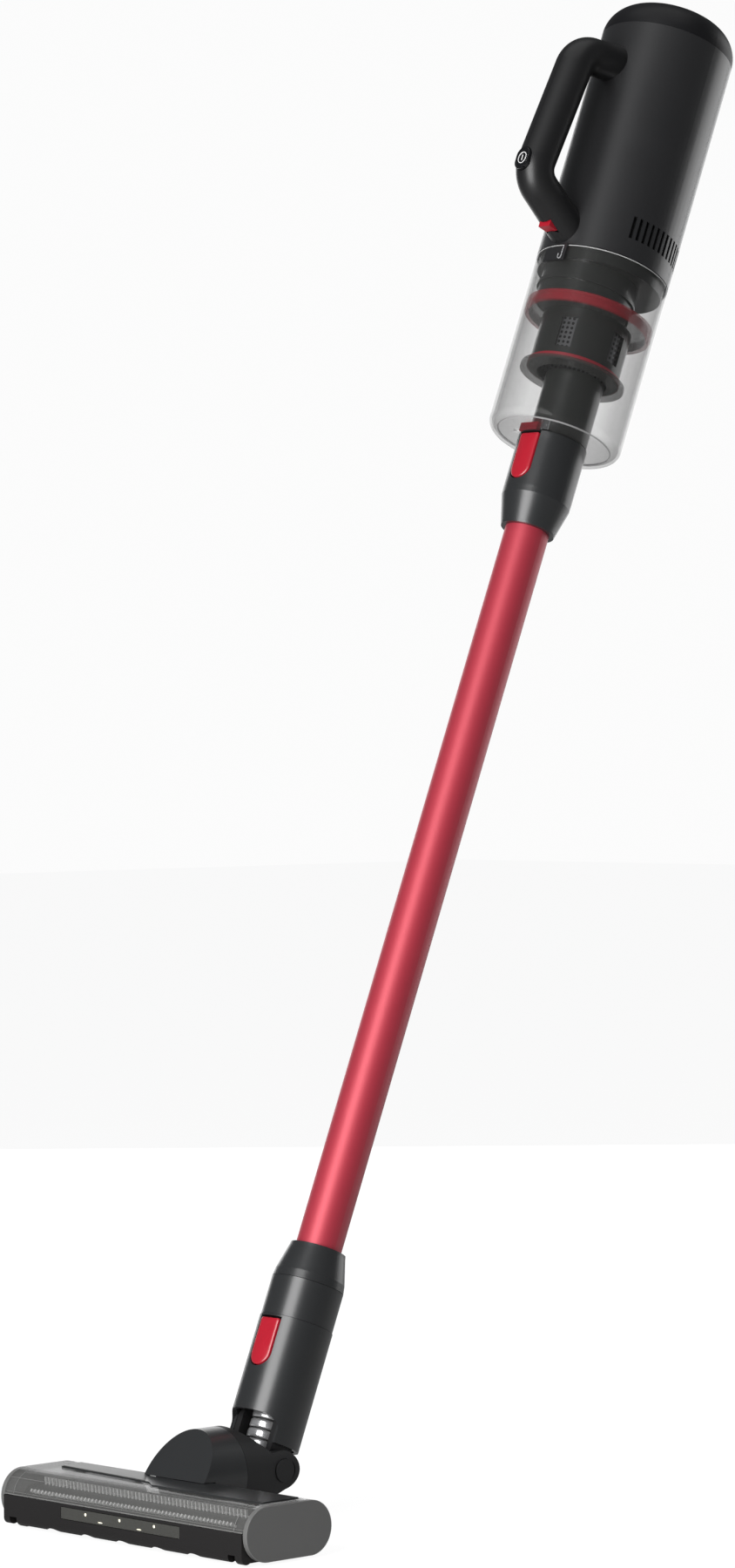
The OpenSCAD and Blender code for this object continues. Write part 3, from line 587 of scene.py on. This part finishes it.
# ---- Neck ----
# The neck is a black tube with an arched opening, through which the ribbed hose bends forward
# into the floor head. Its red button lets the wand go. The hose is silvered bands on a dark
# rubber core, which lets the real hose bend while each band stays round; here it is built in
# one fixed shape.
lower_pad = release_pad("head_release_pad", 106.5, 36.5, PAD_HALF, 28.5, PAD_IN,
                        (9.5, 1.3, 6.2), red_gloss, "head_release_button")
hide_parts("head_release_button")
elbow_black = finish("elbow_black", (0.010, 0.010, 0.0105), 0.5)
hose_silver = finish("hose_silver", (0.62, 0.62, 0.63), 0.22, Metallic=0.75)
hose_core = finish("hose_core", (0.006, 0.006, 0.006), 0.6)
dress(elbow_black, "neck_yoke", "elbow_body", "pivot_caps")

# Radii of the hose and of its bend, and its reach up the neck and forward into the hood.
HOSE_R, HOSE_BEND, HOSE_TOP, HOSE_REACH = 12.6, 19.0, 56.0, 34.0
LEAN = math.atan2(STICK[1], STICK[2])
HOSE_TURN = math.pi / 2 - LEAN
HOSE_CUT = HOSE_BEND * math.tan(HOSE_TURN / 2)
HOSE_ARC = HOSE_BEND * HOSE_TURN
HOSE_LENGTH = HOSE_TOP + HOSE_REACH - 2 * HOSE_CUT + HOSE_ARC


def hose_path(along):
    """Centre line of the hose, from the top of the neck down to the bend and forward: straight,
    then an arc that turns from down the stick to straight ahead, then straight."""
    down = -np.array([math.sin(LEAN), math.cos(LEAN)])
    start = np.array([math.cos(LEAN), -math.sin(LEAN)])
    first = HOSE_TOP - HOSE_CUT
    middle = -down * HOSE_CUT - HOSE_BEND * start
    angle = np.clip((along - first) / HOSE_BEND, 0, HOSE_TURN)
    line = middle + HOSE_BEND * (np.cos(angle)[:, None] * start + np.sin(angle)[:, None] * down)
    line = line + np.minimum(along - first, 0)[:, None] * down
    line = line + np.maximum(along - first - HOSE_ARC, 0)[:, None] * np.array([-1, 0])
    return np.stack([0 * along, PIVOT[1] + line[:, 0], PIVOT[2] + line[:, 1]], -1)


BAND, BAND_GAP = 6.4, 1.1


def hose_skin(along, radius):
    """A round skin of varying radius about the hose's centre line."""
    line = hose_path(along)
    tangent = np.gradient(hose_path(np.linspace(0, HOSE_LENGTH, 400)), axis=0)
    pick = np.clip((along / HOSE_LENGTH * 399).astype(int), 0, 399)
    tangent = tangent[pick] / np.linalg.norm(tangent[pick], axis=1, keepdims=True)
    side = np.array([1.0, 0, 0])
    other = np.cross(tangent, side)
    angle = np.linspace(0, 2 * np.pi, 40, endpoint=False)[None, :, None]
    return line[:, None] + radius[:, None, None] * (np.cos(angle) * side
                                                   + np.sin(angle) * other[:, None])


neck_side = tuple(on_stick(0, 0, 26.0) * MM)
core_along = np.linspace(0, HOSE_LENGTH, 90)
core = piece("hose_core", *sheet_of(hose_skin(core_along, np.full(90, HOSE_R - 1.4))), hose_core,
             None, "hose_silver")
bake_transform(core)
bands = []
band_count = int(HOSE_LENGTH / (BAND + BAND_GAP))
band_shape = np.array([[0, -1.6], [0.02, -0.5], [0.12, -0.12], [0.3, 0], [0.7, 0], [0.88, -0.12],
                       [0.98, -0.5], [1, -1.6]])
for band_number in range(band_count):
    first_edge = band_number * (BAND + BAND_GAP)
    bands.append(sheet_of(hose_skin(first_edge + BAND * band_shape[:, 0],
                                    HOSE_R + band_shape[:, 1])))
rings = piece("hose_bands", *several(bands), hose_silver, None, "hose_silver")
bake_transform(rings)
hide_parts("hose")

# ---- Floor head ----
# The head is a black chassis under a smoked clear cover, closed by an end cap at each side and
# decked over its motor. The cover's front edge shows as a pale line, and the cover lies on a
# ledge of the chassis. Lamps behind a smoked window light the floor ahead.
HEAD_LOW, HEAD_HIGH = (np.array(corner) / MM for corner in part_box("head_cover"))
CAP_LOW, CAP_HIGH = (np.array(corner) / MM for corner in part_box("right_end_cap"))
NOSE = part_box("head_chassis")[0][1] / MM
SPLIT = HEAD_LOW[2]
END_R = (CAP_HIGH[2] - CAP_LOW[2]) / 2
MID_Z = CAP_LOW[2] + END_R
HALF_D = (CAP_HIGH[1] - CAP_LOW[1]) / 2
ACROSS, UP = (1, 0, 0), (0, 0, 1)


def stadium_line(inset, count=160):
    """Outline of the head's end: two half circles of END_R - inset joined by straight lines,
    as places (y, z) at even steps of angle and of run."""
    r, run = END_R - inset, HALF_D - END_R
    angle = np.linspace(-np.pi / 2, np.pi / 2, count // 2)
    rear = np.stack([run + r * np.cos(angle), MID_Z + r * np.sin(angle)], -1)
    front = np.stack([-run - r * np.cos(angle), MID_Z - r * np.sin(angle)], -1)
    return np.vstack([rear, front])


def standing(x, outline):
    """Puts an outline (y, z) at one x."""
    return np.column_stack([np.full(len(outline), x), outline])


cover_smoke = clear_plastic("cover_smoke", (0.19, 0.19, 0.185), 0.12, 0.26, 0.55)
deck_grey = finish("deck_grey", (0.10, 0.10, 0.097), 0.4)
chassis_black = finish("chassis_black", (0.007, 0.006, 0.006), 0.42)
cap_grey = finish("cap_grey", (0.15, 0.15, 0.147), 0.36)
wheel_black = finish("wheel_black", (0.008, 0.008, 0.008), 0.6)
window_smoke = clear_plastic("window_smoke", (0.055, 0.055, 0.050), 0.2, 0.9, 0.95)
lamp_board = finish("lamp_board", (0.12, 0.12, 0.11), 0.6)
felt = finish("felt", (0.2, 0.012, 0.025), 0.95, grain=(1100, 0.9))
edge_grey = finish("edge_grey", (0.22, 0.22, 0.215), 0.3, grain=(900, 0.02))
dress(cover_smoke, "head_cover")
dress(connector_black, "top_plate")
dress(chassis_black, "head_chassis", "sole_plate", "drive_belt", "brush_core")
dress(cap_grey, "left_end_cap", "right_end_cap")
dress(wheel_black, "front_wheel_left", "front_wheel_right", "rear_roller")
dress(window_smoke, "light_window")
dress(lamp_board, "led_board")
dress(felt, "floor_strip")

cover_ends = (HEAD_LOW[0] + 0.6, HEAD_HIGH[0] - 0.6)


def cover_line(height, inset, first_x, last_x, count=60):
    """A line along the cover's front at one height: y follows the cover's round nose."""
    r = END_R - inset
    y = -(HALF_D - END_R) - math.sqrt(max(r ** 2 - (height - MID_Z) ** 2, 0))
    x = np.linspace(first_x, last_x, count)
    return np.stack([x, np.full(count, y), np.full(count, height)], -1)


DECK_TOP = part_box("top_plate")[1][2] / MM
# Corners (x, y) of a thin panel that lies on the deck beside the hood.
deck_line = np.array([[-113.2, 17.2], [-110.2, -2.4], [-10, -7.9], [-38, 17.2]])
deck_steps = np.array([-0.2, 0.2, 0.35])[:, None, None]
deck_middle = deck_line.mean(0)
deck_ring = deck_middle + (deck_line - deck_middle) * np.array([1, 1, 0.985])[:, None, None]
piece("deck_panel", *sheet_of(np.concatenate(
    [deck_ring, DECK_TOP + deck_steps + np.zeros((3, 4, 1))], -1)), deck_grey, "floor_head",
    "connector_black")
piece("cover_edges", *several([
    rod_along(cover_line(SPLIT + 0.4, 0.1, *cover_ends), 0.35, UP),
    rod_along(cover_line(SPLIT + 2.2, 0.9, *cover_ends), 0.22, UP),
    rod_along(cover_line(MID_Z + END_R * 0.72, 0.05, *cover_ends), 0.18, UP)]),
    edge_grey, "floor_head", "cover_smoke")
rib = stadium_line(0.25)
front_top = (rib[:, 0] < -2) & (rib[:, 1] > SPLIT + 1)
piece("cover_ribs", *several([
    rod_along(standing(side * 122.0, rib[front_top]), 0.25, ACROSS) for side in (-1, 1)]),
    edge_grey, "floor_head", "cover_smoke")
piece("end_cap_rim_right", *rod_along(standing(CAP_HIGH[0] - 0.25, stadium_line(0.28)), 0.32,
                                    ACROSS, closed=True), edge_grey, "right_end_cap", "cap_grey")
piece("end_cap_rim_left", *rod_along(standing(-CAP_HIGH[0] + 0.25, stadium_line(0.28)), 0.32,
                                   ACROSS, closed=True), edge_grey, "floor_head", "cap_grey")

window_low, window_high = (np.array(corner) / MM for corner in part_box("light_window"))
lamp_white = finish("lamp_white", (0.8, 0.77, 0.62), 0.4, grain=(900, 0.0))
lamp_shader = lamp_white.node_tree.nodes["Principled BSDF"]
lamp_shader.inputs["Emission Color"].default_value = (1, 0.93, 0.7, 1)
lamp_shader.inputs["Emission Strength"].default_value = 0.5


def lamp_spot(x, z, half_x, half_z):
    """A small raised lens on the light window, a flat-topped oval."""
    turn = np.linspace(0, 2 * np.pi, 24, endpoint=False)
    rise = np.array([[1, -0.2], [1, 0.05], [0.8, 0.14], [0.2, 0.16]])
    return sheet_of(np.stack([
        x + half_x * rise[:, :1] * np.cos(turn),
        NOSE - rise[:, 1:] + 0 * turn,
        z + half_z * rise[:, :1] * np.sin(turn)], -1))


# Three round lenses stand above the window's middle, and two flat ones below it.
window_z = (window_low[2] + window_high[2]) / 2
piece("window_lamps", *several(
    [lamp_spot(x, window_z + 1.4, 1.1, 1.1) for x in (-38, 0, 38)]
    + [lamp_spot(x, window_z - 2.6, 2.6, 0.45) for x in (-21.5, 21.5)]),
    lamp_white, "floor_head", "led_white")

# ---- Brush ----
# Six straight rows of nylon tufts are set in the brush's dark core, which the belt turns. Each
# tuft is a pinch of fibres that spreads a little towards its tip.
brush_low, brush_high = (np.array(corner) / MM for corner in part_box("brush_bristles"))
BRUSH_R = (brush_high[1] - brush_low[1]) / 2
BRUSH_AXIS = np.array(joints["brush_spin"]["pos_m"]) / MM
CORE_R, TUFT_PITCH = 11.0, 4.1
bristle = finish("bristle", (0.88, 0.88, 0.87), 0.55, grain=(2500, 0.5))


def tufts(rows, root_r, tip_r, reach):
    """Square pinches of fibre, one at each step along each row: four corners at the root and
    four wider ones at the tip, carried to (x, r cos a, r sin a) about the brush's axis."""
    x = np.arange(-reach, reach + 0.1, TUFT_PITCH)
    angle = np.radians(90 + np.arange(rows) * 360 / rows)
    x, angle = (grid.reshape(-1, 1) for grid in np.meshgrid(x, angle))
    along = np.array([-1, 1, 1, -1, -1, 1, 1, -1])
    across = np.array([-1, -1, 1, 1, -1, -1, 1, 1])
    tip = np.array([0, 0, 0, 0, 1, 1, 1, 1])
    size = np.where(tip, 0.62, 0.45)
    r = np.where(tip, tip_r, root_r)
    side = across * np.where(tip, 1.2, 0.7)
    points = np.stack([x + along * size,
                       BRUSH_AXIS[1] + r * np.cos(angle) - side * np.sin(angle),
                       BRUSH_AXIS[2] + r * np.sin(angle) + side * np.cos(angle)], -1)
    cube = np.array([[0, 3, 2, 1], [4, 5, 6, 7], [0, 1, 5, 4], [1, 2, 6, 5], [2, 3, 7, 6],
                     [3, 0, 4, 7]])
    faces = (np.arange(len(points))[:, None, None] * 8 + cube).reshape(-1, 4).tolist()
    return points.reshape(-1, 3), faces


tuft_rows = piece("bristle_tufts",
                  *tufts(6, CORE_R - 0.5, math.sqrt(BRUSH_R ** 2 - 1.5), 112.0), bristle,
                  "brush", "bristle_white")
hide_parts("brush_bristles")
